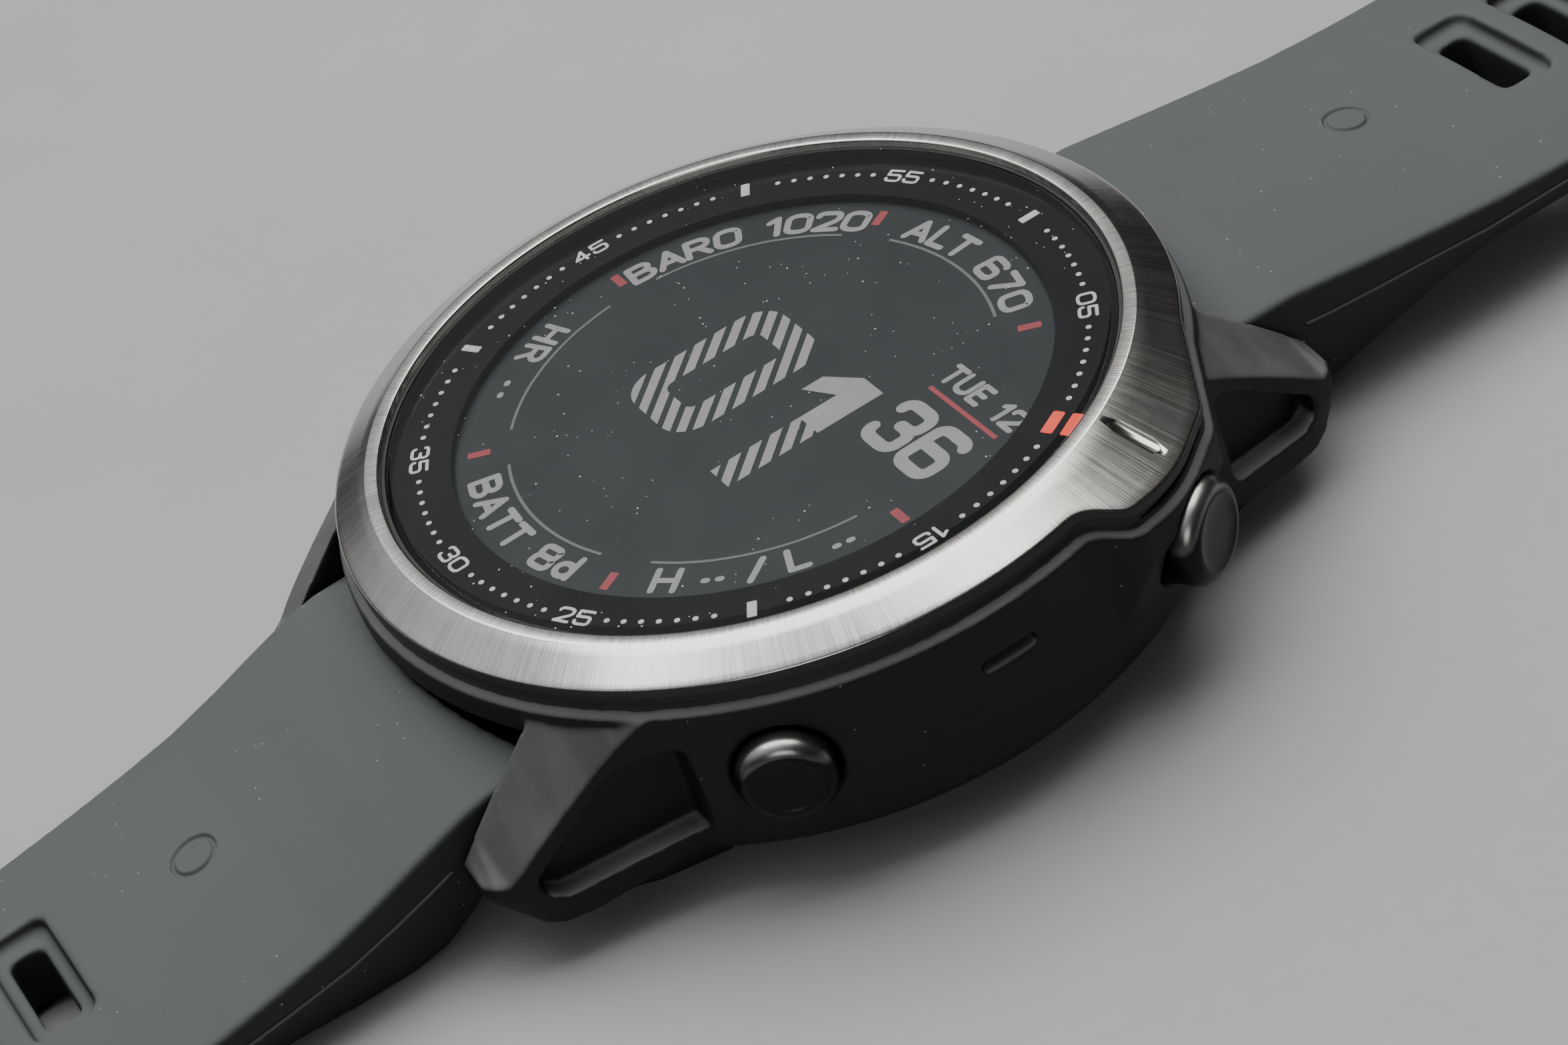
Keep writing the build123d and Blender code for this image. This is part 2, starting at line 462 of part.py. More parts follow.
# ---------------------------------------------------------------- buckle
BUCKLE_TILT = -7.0
frame_face = make_face(Polyline((-12.2, BAR_Y - 1.7), (12.2, BAR_Y - 1.7), (12.2, 104.2), (-12.2, 104.2), close=True))
frame_face = fillet([v for v in frame_face.vertices() if v.Y > 100], 3.4)
frame_face -= make_face(Polyline((-9.7, BAR_Y - 3), (9.7, BAR_Y - 3), (9.7, 101.4), (-9.7, 101.4), close=True))
buckle = Pos(0, 0, BAR_Z - 1.35) * extrude(frame_face, 2.6)
ends = rod_x(BAR_Y, BAR_Z, 1.7, -13, 13) + box(-13, 13, BAR_Y, 106, 0, 8)
buckle = buckle & ends
try:
    buckle = chamfer(buckle.edges().filter_by(GeomType.CIRCLE).group_by(Axis.Z)[-1], 0.3)
except Exception:
    pass
buckle -= rod_x(BAR_Y, BAR_Z, BAR_R + 0.005, -11.6, 11.6)
tongue = rod_x(BAR_Y, BAR_Z, 1.6, -2.5, 2.5)
tongue += prism_x([(91.2, 4.7), (92.4, 5.45), (100.6, 6.15), (103.6, 5.55), (103.6, 4.95), (102.6, 4.8), (101.0, 4.8), (93.2, 4.0)], -2.5, 2.5)
tongue -= rod_x(BAR_Y, BAR_Z, BAR_R + 0.05, -5, 5)
bar = rod_x(BAR_Y, BAR_Z, BAR_R, -11.5, 11.5)


def tilt(shape):
    return Pos(0, BAR_Y, BAR_Z) * Rot(BUCKLE_TILT, 0, 0) * Pos(0, -BAR_Y, -BAR_Z) * shape


save(tilt(buckle), "buckle_frame")
save(tilt(tongue), "buckle_tongue")
save(bar, "buckle_bar")
print("done")
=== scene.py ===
import bpy, bmesh, math, json, random
from mathutils import Vector, Matrix


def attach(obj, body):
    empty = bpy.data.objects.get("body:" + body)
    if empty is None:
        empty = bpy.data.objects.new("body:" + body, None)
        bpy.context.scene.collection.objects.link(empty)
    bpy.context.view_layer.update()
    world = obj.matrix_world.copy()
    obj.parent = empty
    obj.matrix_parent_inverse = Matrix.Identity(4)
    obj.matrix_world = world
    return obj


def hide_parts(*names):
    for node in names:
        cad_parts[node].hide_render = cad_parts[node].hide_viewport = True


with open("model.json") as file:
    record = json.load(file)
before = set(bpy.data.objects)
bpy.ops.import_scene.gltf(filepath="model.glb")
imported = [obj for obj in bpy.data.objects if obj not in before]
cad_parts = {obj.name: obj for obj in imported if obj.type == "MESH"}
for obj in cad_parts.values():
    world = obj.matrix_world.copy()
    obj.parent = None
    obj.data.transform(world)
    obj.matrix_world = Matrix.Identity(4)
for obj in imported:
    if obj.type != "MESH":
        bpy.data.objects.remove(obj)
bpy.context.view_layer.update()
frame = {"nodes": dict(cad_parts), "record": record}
NODES = frame["nodes"]
MM = 0.001
random.seed(7)
col = bpy.context.scene.collection

# ------------------------------------------------------------------ camera
cam_data = bpy.data.cameras.new("camera")
cam = bpy.data.objects.new("camera", cam_data)
col.objects.link(cam)
cam_data.sensor_fit = 'HORIZONTAL'
cam_data.sensor_width = 36
cam_data.lens = 81.70
cam_data.clip_start = 0.005
cam_data.clip_end = 10
ax = Vector((0.49686103, 0.8257774, -0.26687228))
ay = -Vector((0.43713352, -0.5038012, -0.74504941))
az_ = -Vector((-0.74969554, 0.2535272, -0.61129417))
m = Matrix.Identity(4)
for i, a in enumerate((ax, ay, az_)):
    for r in range(3):
        m[r][i] = a[r]
m.translation = Vector((0.13133, -0.04508, 0.11154))
cam.matrix_world = m
bpy.context.scene.camera = cam


# ------------------------------------------------------------------ node helpers
class Tree:
    def __init__(self, name):
        self.mat = bpy.data.materials.new(name)
        self.mat.use_nodes = True
        self.t = self.mat.node_tree
        self.t.nodes.clear()
        self.out = self.t.nodes.new("ShaderNodeOutputMaterial")
        self.co = self.t.nodes.new("ShaderNodeTexCoord").outputs["Object"]

    def link(self, a, b):
        self.t.links.new(a, b)

    def new(self, kind, **props):
        n = self.t.nodes.new(kind)
        for k, v in props.items():
            setattr(n, k, v)
        return n

    def put(self, sock, v):
        if hasattr(v, "is_output"):
            self.link(v, sock)
        else:
            sock.default_value = v

    def math(self, op, a, b=0.0, c=None, clamp=False):
        n = self.new("ShaderNodeMath", operation=op, use_clamp=clamp)
        self.put(n.inputs[0], a)
        self.put(n.inputs[1], b)
        if c is not None:
            self.put(n.inputs[2], c)
        return n.outputs[0]

    def noise(self, size_mm, detail=3.0, rough=0.55, vec=None, distortion=0.0):
        n = self.new("ShaderNodeTexNoise")
        n.inputs["Scale"].default_value = 1000.0 / size_mm if vec is None else 1.0
        n.inputs["Detail"].default_value = detail
        n.inputs["Roughness"].default_value = rough
        n.inputs["Distortion"].default_value = distortion
        self.link(vec if vec is not None else self.co, n.inputs["Vector"])
        return n.outputs[0]

    def ramp(self, fac, stops, interp='LINEAR'):
        n = self.new("ShaderNodeValToRGB")
        n.color_ramp.interpolation = interp
        e = n.color_ramp.elements
        while len(e) < len(stops):
            e.new(0.5)
        for el, (p, c) in zip(e, stops):
            el.position = p
            el.color = (*c, 1) if len(c) == 3 else c
        self.link(fac, n.inputs[0])
        return n.outputs[0]

    def span(self, v, a0, a1, b0, b1):
        n = self.new("ShaderNodeMapRange")
        self.link(v, n.inputs[0])
        for i, k in enumerate((a0, a1, b0, b1)):
            n.inputs[i + 1].default_value = k
        return n.outputs[0]

    def mix(self, fac, a, b):
        n = self.new("ShaderNodeMix", data_type='RGBA')
        self.put(n.inputs[0], fac)
        self.put(n.inputs[6], a)
        self.put(n.inputs[7], b)
        return n.outputs[2]

    def bump(self, height, dist_mm, strength=1.0, normal=None):
        n = self.new("ShaderNodeBump")
        n.inputs["Strength"].default_value = strength
        n.inputs["Distance"].default_value = dist_mm * MM
        self.link(height, n.inputs["Height"])
        if normal is not None:
            self.link(normal, n.inputs["Normal"])
        return n.outputs[0]

    def specks(self, cell_mm, size, keep):
        """1 inside small round specks: size is a share of the cell, keep a share of the cells."""
        v = self.new("ShaderNodeTexVoronoi")
        v.inputs["Scale"].default_value = 1000.0 / cell_mm
        self.link(self.co, v.inputs["Vector"])
        sep = self.new("ShaderNodeSeparateColor")
        self.link(v.outputs["Color"], sep.inputs[0])
        near = self.math('LESS_THAN', v.outputs["Distance"], size)
        some = self.math('LESS_THAN', sep.outputs[0], keep)
        return self.math('MULTIPLY', near, some)

    def shader(self, **socks):
        b = self.new("ShaderNodeBsdfPrincipled")
        for k, v in socks.items():
            self.put(b.inputs[k.replace("_", " ")], v)
        self.link(b.outputs[0], self.out.inputs[0])
        return b


def shade(c, k):
    return tuple(min(1.0, x * k) for x in c)


def surface(name, base, rough, metallic=0.0, mottle_mm=3.0, mottle=0.12, grain_mm=0.12, bump_mm=0.006, specks=None, spec=0.5, coat=0.0, strength=1.0, up=None):
    """A moulded, painted or machined surface with a mottled colour, uneven gloss and a fine grain.
    up is (colour, z0, z1): faces that look up get that colour as painted top light and sheen, from normal z0 to z1."""
    t = Tree(name)
    big = t.noise(mottle_mm, 4.0, 0.6)
    fine = t.noise(grain_mm, 2.0, 0.6)
    colour = t.ramp(big, [(0.3, shade(base, 1 - mottle)), (0.7, shade(base, 1 + mottle))])
    if up:
        facing = t.new("ShaderNodeSeparateXYZ")
        t.link(t.new("ShaderNodeTexCoord").outputs["Normal"], facing.inputs[0])
        # painted top light: the colour turns towards up[0] as the face turns upward, standing in for light falling from
        # above
        painted_top_light = t.math('ADD', facing.outputs[2], t.math('MULTIPLY', t.math('SUBTRACT', big, 0.5), 0.12))
        painted_lit_colour = t.ramp(big, [(0.3, shade(up[0], 1 - mottle * 0.6)), (0.7, shade(up[0], 1 + mottle * 0.6))])
        colour = t.mix(t.span(painted_top_light, up[1], up[2], 0.0, 1.0), colour, painted_lit_colour)
    if specks:
        mask = t.specks(*specks[:3])
        colour = t.mix(mask, colour, (*specks[3], 1.0))
        mask2 = t.specks(specks[0] * 0.37, specks[1] * 0.9, specks[2] * 0.6)
        colour = t.mix(mask2, colour, (*shade(specks[3], 0.75), 1.0))
    r = t.span(big, 0.3, 0.7, rough[0], rough[1])
    n = t.bump(fine, bump_mm, strength)
    b = t.shader(Base_Color=colour, Roughness=r, Normal=n)
    b.inputs["Metallic"].default_value = metallic
    b.inputs["Specular IOR Level"].default_value = spec
    b.inputs["Coat Weight"].default_value = coat
    return t.mat


def brushed(name, base, rough, line_mm=0.05, radial=True, streak=0.35, bump_mm=0.004, long_mm=6.0, axis=0):
    """Metal with fine brushed lines: radial ones run out from the dial axis, others along one axis."""
    t = Tree(name)
    sep = t.new("ShaderNodeSeparateXYZ")
    t.link(t.co, sep.inputs[0])
    x, y, z = sep.outputs
    comb = t.new("ShaderNodeCombineXYZ")
    if radial:
        ang = t.math('ARCTAN2', x, y)
        rad = t.math('SQRT', t.math('ADD', t.math('MULTIPLY', x, x), t.math('MULTIPLY', y, y)))
        t.link(t.math('MULTIPLY', ang, 20.0 / line_mm), comb.inputs[0])
        t.link(t.math('MULTIPLY', rad, 1000.0 / long_mm), comb.inputs[1])
        t.link(t.math('MULTIPLY', z, 1000.0 / long_mm), comb.inputs[2])
    else:
        for i, s in enumerate((x, y, z)):
            t.link(t.math('MULTIPLY', s, 1000.0 / (long_mm if i == axis else line_mm)), comb.inputs[i])
    line = t.noise(1, 3.0, 0.65, vec=comb.outputs[0])
    broad = t.noise(2.2, 3.0, 0.55)
    both_ = t.math('ADD', t.math('MULTIPLY', line, 0.75), t.math('MULTIPLY', broad, 0.25))
    colour = t.ramp(both_, [(0.32, shade(base, 1 - streak)), (0.5, base), (0.68, shade(base, 1 + streak))])
    r = t.span(both_, 0.3, 0.7, rough[0], rough[1])
    n = t.bump(line, bump_mm)
    b = t.shader(Base_Color=colour, Roughness=r, Normal=n)
    b.inputs["Metallic"].default_value = 1.0
    return t.mat


M = {}
M["bezel_steel"] = brushed("bezel_steel", (0.57, 0.556, 0.525), (0.13, 0.23), line_mm=0.055, streak=0.22, bump_mm=0.0035)
# the up colour paints a highlight on the upward-facing shoulder of each button cap
M["button_steel"] = surface("button_steel", (0.018, 0.0185, 0.019), (0.26, 0.34), 1.0, 2.0, 0.12, 0.10, 0.002, up=((0.42, 0.42, 0.40), 0.22, 0.62))
M["buckle_steel"] = brushed("buckle_steel", (0.30, 0.305, 0.31), (0.28, 0.40), radial=False, axis=0, streak=0.2, bump_mm=0.004)
M["plain_steel"] = brushed("plain_steel", (0.52, 0.52, 0.52), (0.3, 0.45), radial=False, axis=1, streak=0.15, bump_mm=0.003)
# the up colour paints top light and sheen on lug tops, rim bevel and ledges; the light specks are dust
M["case_polymer"] = surface("case_polymer", (0.0105, 0.011, 0.012), (0.50, 0.60), 0.0, 5.0, 0.18, 0.11, 0.012,
                            specks=(0.9, 0.060, 0.30, (0.15, 0.15, 0.145)), spec=0.22, up=((0.125, 0.129, 0.131), 0.44, 0.80))
M["bezel_shade"] = surface("bezel_shade", (0.030, 0.030, 0.031), (0.45, 0.6), 0.0, 3.0, 0.15, 0.1, 0.004, spec=0.25)
# the up colour paints top light on the strap's upper faces against its darker side walls; the light specks are dust
M["strap_silicone"] = surface("strap_silicone", (0.022, 0.024, 0.025), (0.62, 0.74), 0.0, 9.0, 0.06, 0.09, 0.006,
                              specks=(0.8, 0.060, 0.50, (0.30, 0.30, 0.295)), spec=0.3, up=((0.086, 0.093, 0.096), 0.15, 0.62))
M["gasket_rubber"] = surface("gasket_rubber", (0.012, 0.012, 0.012), (0.5, 0.65), 0.0, 2.0, 0.2, 0.2, 0.01)
M["dial_black"] = surface("dial_black", (0.004, 0.004, 0.0045), (0.12, 0.18), 0.0, 4.0, 0.3, 0.5, 0.0008, spec=0.12)
M["frame_plastic"] = surface("frame_plastic", (0.05, 0.05, 0.055), (0.5, 0.65), 0.0, 3.0, 0.15, 0.15, 0.01)
M["board_green"] = surface("board_green", (0.03, 0.10, 0.06), (0.35, 0.5), 0.0, 2.0, 0.3, 0.3, 0.01)
M["flex_amber"] = surface("flex_amber", (0.45, 0.22, 0.05), (0.3, 0.45), 0.0, 2.0, 0.15, 0.3, 0.006)
M["shield_tin"] = surface("shield_tin", (0.65, 0.65, 0.64), (0.28, 0.4), 1.0, 3.0, 0.08, 0.2, 0.006)
M["battery_wrap"] = surface("battery_wrap", (0.22, 0.23, 0.25), (0.4, 0.5), 0.0, 4.0, 0.1, 0.5, 0.02)
M["contact_gold"] = surface("contact_gold", (0.80, 0.60, 0.24), (0.2, 0.3), 1.0, 1.0, 0.08, 0.1, 0.003)
M["sensor_black"] = surface("sensor_black", (0.008, 0.008, 0.009), (0.08, 0.16), 0.0, 3.0, 0.2, 0.4, 0.001)
M["emitter_green"] = surface("emitter_green", (0.42, 0.56, 0.33), (0.2, 0.3), 0.0, 1.0, 0.2, 0.1, 0.004)
M["membrane_white"] = surface("membrane_white", (0.7, 0.7, 0.7), (0.7, 0.85), 0.0, 0.6, 0.05, 0.06, 0.01)
M["display_glass"] = surface("display_glass", (0.021, 0.0255, 0.0275), (0.26, 0.34), 0.0, 6.0, 0.08, 0.13, 0.0010, spec=0.18)
M["print_white"] = surface("print_white", (0.52, 0.52, 0.50), (0.4, 0.5), 0.0, 0.8, 0.12, 0.1, 0.002)
M["print_red"] = surface("print_red", (0.95, 0.055, 0.018), (0.35, 0.45), 0.0, 0.8, 0.08, 0.1, 0.002)
M["pixel_grey"] = surface("pixel_grey", (0.27, 0.26, 0.275), (0.4, 0.5), 0.0, 1.5, 0.06, 0.13, 0.001)
M["pixel_dim"] = surface("pixel_dim", (0.115, 0.12, 0.125), (0.4, 0.5), 0.0, 1.5, 0.06, 0.13, 0.001)
M["pixel_red"] = surface("pixel_red", (0.30, 0.022, 0.034), (0.4, 0.5), 0.0, 1.5, 0.08, 0.13, 0.001)


def lens_material():
    t = Tree("lens_glass")
    clear = t.new("ShaderNodeBsdfTransparent")
    clear.inputs[0].default_value = (0.97, 0.98, 0.98, 1)
    gloss = t.new("ShaderNodeBsdfGlossy")
    gloss.inputs[0].default_value = (1, 1, 1, 1)
    dust = t.noise(0.9, 5.0, 0.7)
    t.link(t.span(dust, 0.3, 0.75, 0.02, 0.06), gloss.inputs["Roughness"])
    t.link(t.bump(t.noise(0.6, 2.0, 0.5), 0.0002), gloss.inputs["Normal"])
    fres = t.new("ShaderNodeFresnel")
    fres.inputs["IOR"].default_value = 1.33
    ms = t.new("ShaderNodeMixShader")
    geo = t.new("ShaderNodeNewGeometry")
    t.link(t.math('MULTIPLY', fres.outputs[0], t.math('SUBTRACT', 1.0, geo.outputs["Backfacing"])), ms.inputs[0])
    t.link(clear.outputs[0], ms.inputs[1])
    t.link(gloss.outputs[0], ms.inputs[2])
    white = t.new("ShaderNodeBsdfDiffuse")
    white.inputs[0].default_value = (0.75, 0.76, 0.76, 1)
    mask = t.math('MAXIMUM', t.specks(0.8, 0.062, 0.42), t.specks(0.45, 0.075, 0.22))
    patch = t.math('GREATER_THAN', t.noise(7.0, 2.0, 0.5), 0.5)
    ms2 = t.new("ShaderNodeMixShader")
    t.link(t.math('MULTIPLY', t.math('MULTIPLY', mask, patch), 0.75), ms2.inputs[0])
    t.link(ms.outputs[0], ms2.inputs[1])
    t.link(white.outputs[0], ms2.inputs[2])
    t.link(ms2.outputs[0], t.out.inputs[0])
    return t.mat


M["lens_glass"] = lens_material()

slot_of = {}
for s in frame["record"].get("subparts", []):
    slot_of[s["node"]] = s["material_slot"]
for n, o in NODES.items():
    o.data.materials.clear()
    o.data.materials.append(M[slot_of.get(n, "plain_steel")])


# ------------------------------------------------------------------ mesh helpers
def link(name, me, body, slot, mat=None, smooth=True, replaces=None):
    o = bpy.data.objects.new(name, me)
    col.objects.link(o)
    me.materials.clear()
    me.materials.append(M[mat or slot])
    if smooth:
        me.polygons.foreach_set("use_smooth", [True] * len(me.polygons))
    if replaces:
        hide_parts(*replaces)
    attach(o, body)
    return o


def baked(o):
    dg = bpy.context.evaluated_depsgraph_get()
    dg.update()
    return bpy.data.meshes.new_from_object(o.evaluated_get(dg))


def world_copy(node):
    src = NODES[node]
    me = src.data.copy()
    me.transform(src.matrix_world)
    return me


def processed(me, steps):
    """me after a list of (modifier kind, settings)."""
    o = bpy.data.objects.new("work", me)
    col.objects.link(o)
    for kind, props in steps:
        md = o.modifiers.new(kind, kind)
        for k, v in props.items():
            setattr(md, k, v)
    out = baked(o)
    bpy.data.objects.remove(o)
    return out


def moulded(node, voxel_mm, rounds, factor=0.5, keep=None):
    """The node's shape with soft moulded edges: an even fine mesh, relaxed a little."""
    me = world_copy(node)
    steps = [('REMESH', dict(mode='VOXEL', voxel_size=voxel_mm * MM, adaptivity=0.0)),
             ('SMOOTH', dict(factor=factor, iterations=rounds))]
    if keep:
        steps.append(('DECIMATE', dict(ratio=keep)))
    return processed(me, steps)


def from_geo(name, verts, faces):
    me = bpy.data.meshes.new(name)
    me.from_pydata([tuple(c * MM for c in v) for v in verts], [], faces)
    me.update()
    return me


def clean_normals(me):
    bm = bmesh.new()
    bm.from_mesh(me)
    bmesh.ops.remove_doubles(bm, verts=bm.verts, dist=1e-7)
    bmesh.ops.recalc_face_normals(bm, faces=bm.faces)
    bm.to_mesh(me)
    bm.free()
    return me


def lathe(profile, n=128, axis=None, close=True):
    """Verts and faces of a surface of revolution about Z from (r, z) points; r 0 makes a pole."""
    verts, faces, rows = [], [], []
    for r, z in profile:
        if r < 1e-6:
            rows.append([len(verts)])
            verts.append((0, 0, z))
        else:
            rows.append(list(range(len(verts), len(verts) + n)))
            verts += [(r * math.cos(2 * math.pi * k / n), r * math.sin(2 * math.pi * k / n), z) for k in range(n)]
    for a, b in zip(rows, rows[1:]):
        for k in range(n):
            j = (k + 1) % n
            if len(a) == 1 and len(b) == 1:
                continue
            if len(a) == 1:
                faces.append((a[0], b[k], b[j]))
            elif len(b) == 1:
                faces.append((a[k], b[0], a[j]))
            else:
                faces.append((a[k], b[k], b[j], a[j]))
    return verts, faces


def arc(cx, cz, r, a0, a1, n):
    return [(cx + r * math.cos(math.radians(a0 + (a1 - a0) * k / n)), cz + r * math.sin(math.radians(a0 + (a1 - a0) * k / n))) for k in range(n + 1)]


# ------------------------------------------------------------------ bezel, swept round its own outline
def ray_outline(n):
    """Outer radius of the CAD bezel in n even directions, read by casting rays at it from outside."""
    from mathutils.bvhtree import BVHTree
    me = NODES["bezel"].data
    tree = BVHTree.FromPolygons([v.co * 1000 for v in me.vertices], [tuple(p.vertices) for p in me.polygons])
    out = []
    for k in range(n):
        a = -math.pi + 2 * math.pi * k / n
        d = Vector((math.sin(a), math.cos(a), 0))
        r = 20.95
        for _ in range(14):
            z = 13.82 - 0.562 * (r - 19.1) - 0.3
            hit = tree.ray_cast(d * 30 + Vector((0, 0, z)), -d)
            if hit[0] is None:
                break
            r2 = math.hypot(hit[0].x, hit[0].y)
            if abs(r2 - r) < 1e-3:
                break
            r = r2
        out.append(r)
    return out


N_AZ = 1080
radii = ray_outline(N_AZ)
for _ in range(3):
    radii = [(radii[k - 1] + 2 * radii[k] + radii[(k + 1) % N_AZ]) / 4 for k in range(N_AZ)]
CREST, CR, SL = 13.82, 19.1, 0.562


def bezel_profile(R):
    top = lambda r: CREST - SL * (r - CR)
    p = [(18.36, 12.32), (18.36, 13.72), (18.40, 13.80), (18.48, 13.82), (18.75, 13.822), (19.00, 13.82), (19.06, 13.812), (19.11, 13.785), (19.17, 13.755)]
    for k in range(1, 8):
        r = 19.17 + (R - 0.14 - 19.17) * k / 8
        p.append((r, top(r) - 0.004))
    e = R - 0.14
    p += [(e, top(e) - 0.004), (R - 0.07, top(R - 0.07) - 0.012), (R - 0.02, top(R) - 0.03), (R, top(R) - 0.10),
          (R, top(R) - 0.46), (R - 0.03, top(R) - 0.55), (R - 0.10, top(R - 0.10) - 0.60)]
    u = max(19.8, R - 1.0)
    p += [(u, top(u) - 0.6), (19.75, top(19.75) - 0.6), (19.75, 11.2), (18.4, 11.2), (18.4, 11.75), (17.32, 11.75), (17.32, 12.3)]
    return p


verts, faces = [], []
rows = []
for k in range(N_AZ):
    a = -math.pi + 2 * math.pi * k / N_AZ
    row = []
    for r, z in bezel_profile(radii[k]):
        row.append(len(verts))
        verts.append((r * math.sin(a), r * math.cos(a), z))
    rows.append(row)
P = len(rows[0])
for k in range(N_AZ):
    j = (k + 1) % N_AZ
    for i in range(P):
        i2 = (i + 1) % P
        faces.append((rows[k][i], rows[j][i], rows[j][i2], rows[k][i2]))
me = clean_normals(from_geo("bezel_ring", verts, faces))
# engraved slot on the guard
sa = math.radians(60.5)
e_r, e_t = Vector((math.sin(sa), math.cos(sa), 0)), Vector((math.cos(sa), -math.sin(sa), 0))
cut_v, cut_f = [], []
ring_n = 40
outl = []
for k in range(ring_n):
    q = 2 * math.pi * k / ring_n
    u = 0.31 * math.cos(q)
    w = (1.99 if math.sin(q) >= 0 else 0.31) + 0.31 * math.sin(q)
    outl.append((u, w))
for zoff, g in ((1.0, 1.12), (0.0, 1.08), (-0.07, 0.95), (-0.11, 0.80)):
    for u, w in outl:
        rr = 19.55 + 1.15 + (w - 1.15) * (1 - (1 - g) * 0.25)
        pnt = e_r * rr + e_t * (u * g)
        cut_v.append((pnt.x, pnt.y, CREST - SL * (rr - CR) + zoff))
for s in range(3):
    for k in range(ring_n):
        j = (k + 1) % ring_n
        cut_f.append((s * ring_n + k, s * ring_n + j, (s + 1) * ring_n + j, (s + 1) * ring_n + k))
cut_f.append(tuple(range(ring_n)))
cut_f.append(tuple(range(3 * ring_n, 4 * ring_n)))
cutter = bpy.data.objects.new("cutter", clean_normals(from_geo("cutter", cut_v, cut_f)))
col.objects.link(cutter)
me = processed(me, [('BOOLEAN', dict(object=cutter, operation='DIFFERENCE', solver='EXACT'))])
bpy.data.objects.remove(cutter)
bez = link("bezel_ring", me, "root", "bezel_steel", replaces=["bezel"])
# painted shade: the steel bezel's outer wall and underside take the dark bezel_shade material, standing for the shade
# they sit in
me.materials.append(M["bezel_shade"])
for p in me.polygons:
    if abs(p.normal.z) < 0.30 and math.hypot(p.center.x, p.center.y) > 19.6 * MM and p.center.z < 0.01375:
        p.material_index = 1
    elif p.normal.z < -0.3:
        p.material_index = 1

# dark filler ring under the bezel lip, over the case groove: painted shade for the shaded band between bezel and case
verts, faces = [], []
for k in range(N_AZ):
    a = -math.pi + 2 * math.pi * k / N_AZ
    w = radii[k] - 0.24
    under = lambda r: CREST - SL * (r - CR) - 0.60
    rim = lambda r: CREST - SL * (r - CR) - 1.25
    for r, z in ((19.98, 10.95), (w - 0.05, 10.95), (w, 11.0), (w + 0.17, rim(w + 0.17) - 0.15), (w + 0.17, rim(w + 0.17) + 0.03), (w + 0.12, rim(w + 0.12) + 0.06), (w + 0.03, rim(w) + 0.12), (w, rim(w) + 0.20),
                 (w, under(w) - 0.06), (w - 0.06, under(w - 0.06) - 0.01), (19.98, under(19.98) - 0.01)):
        verts.append((r * math.sin(a), r * math.cos(a), z))
SP = len(verts) // N_AZ
for k in range(N_AZ):
    j = (k + 1) % N_AZ
    for i in range(SP):
        i2 = (i + 1) % SP
        faces.append((k * SP + i, j * SP + i, j * SP + i2, k * SP + i2))
link("bezel_gap_shade_band", clean_normals(from_geo("bezel_gap_shade_band", verts, faces)), "root", "gasket_rubber", mat="bezel_shade")

# ------------------------------------------------------------------ case, straps, keepers: soft moulded shapes
case_vox = 0.14
strap_vox = 0.16
case = link("case_shell", moulded("case_body", case_vox, 9, keep=0.6), "root", "case_polymer", replaces=["case_body"])


def lerp_table(table, y):
    for (y0, v0), (y1, v1) in zip(table, table[1:]):
        if y <= y1:
            k = 0 if y1 == y0 else (y - y0) / (y1 - y0)
            return v0 + (v1 - v0) * max(0.0, min(1.0, k))
    return table[-1][1]


LONG_TOP = [(18.0, 8.1), (21.2, 8.1), (23.0, 7.75), (25.5, 6.95), (28.0, 6.05), (30.7, 5.2), (34.0, 4.55), (37.0, 4.05), (41.2, 3.45), (46.0, 3.1), (52.0, 2.9), (136.0, 2.9)]
LONG_W = [(18.0, 10.0), (50.0, 10.0), (118.0, 9.0), (136.0, 9.0)]
SHORT_TOP = [(18.0, 8.25), (22.0, 8.25), (24.4, 8.2), (27.0, 7.8), (29.7, 7.4), (32.0, 7.1), (35.8, 6.55), (41.1, 6.2), (46.0, 6.05), (52.0, 5.55), (60.0, 4.45), (64.0, 4.3), (96.0, 4.3)]
SHORT_W = [(18.0, 10.0), (50.0, 10.0), (62.0, 9.3), (96.0, 9.3)]
SEAM = [(18.0, 2.1), (26.0, 2.0), (34.0, 1.5), (41.0, 1.1), (140.0, 1.1)]
CROWN = [(18.0, 1.25), (46.0, 1.25), (62.0, 0.75), (140.0, 0.75)]


def engrave_ring(me, cy, radius, width, depth):
    """A round groove pressed into the upper surface of a strap, round (0, cy)."""
    bm = bmesh.new()
    bm.from_mesh(me)
    for _ in range(2):
        sel = []
        for e in bm.edges:
            c = (e.verts[0].co + e.verts[1].co) / 2
            d = math.hypot(c.x * 1000, c.y * 1000 - cy)
            if abs(d - radius) < width * 1.6 and c.z > 0.0038:
                sel.append(e)
        bmesh.ops.subdivide_edges(bm, edges=sel, cuts=1, use_grid_fill=True)
    bm.normal_update()
    for v in bm.verts:
        d = abs(math.hypot(v.co.x * 1000, v.co.y * 1000 - cy) - radius)
        if d < width and v.normal.z > 0.5:
            v.co -= v.normal * (depth * MM * 0.5 * (1 + math.cos(math.pi * d / width)))
    bm.to_mesh(me)
    bm.free()


def seam_bead(name, table, width, sign, y0, y1, body):
    """The fine parting line that runs along each side wall."""
    verts, faces = [], []
    for side in (1, -1):
        start = len(verts)
        ys = [y0 + (y1 - y0) * k / 150 for k in range(151)]
        for y in ys:
            z = lerp_table(table, y) - lerp_table(SEAM, y)
            x = lerp_table(width, y)
            for q in range(8):
                t = 2 * math.pi * q / 8
                verts.append((side * (x + 0.0 + 0.11 * math.cos(t)), sign * y, z + 0.13 * math.sin(t)))
        for k in range(150):
            for q in range(8):
                j = (q + 1) % 8
                faces.append((start + k * 8 + q, start + k * 8 + j, start + (k + 1) * 8 + j, start + (k + 1) * 8 + q))
        faces.append(tuple(start + q for q in range(8)))
        faces.append(tuple(start + 150 * 8 + q for q in range(8)))
    return link(name, clean_normals(from_geo(name, verts, faces)), body, "strap_silicone")


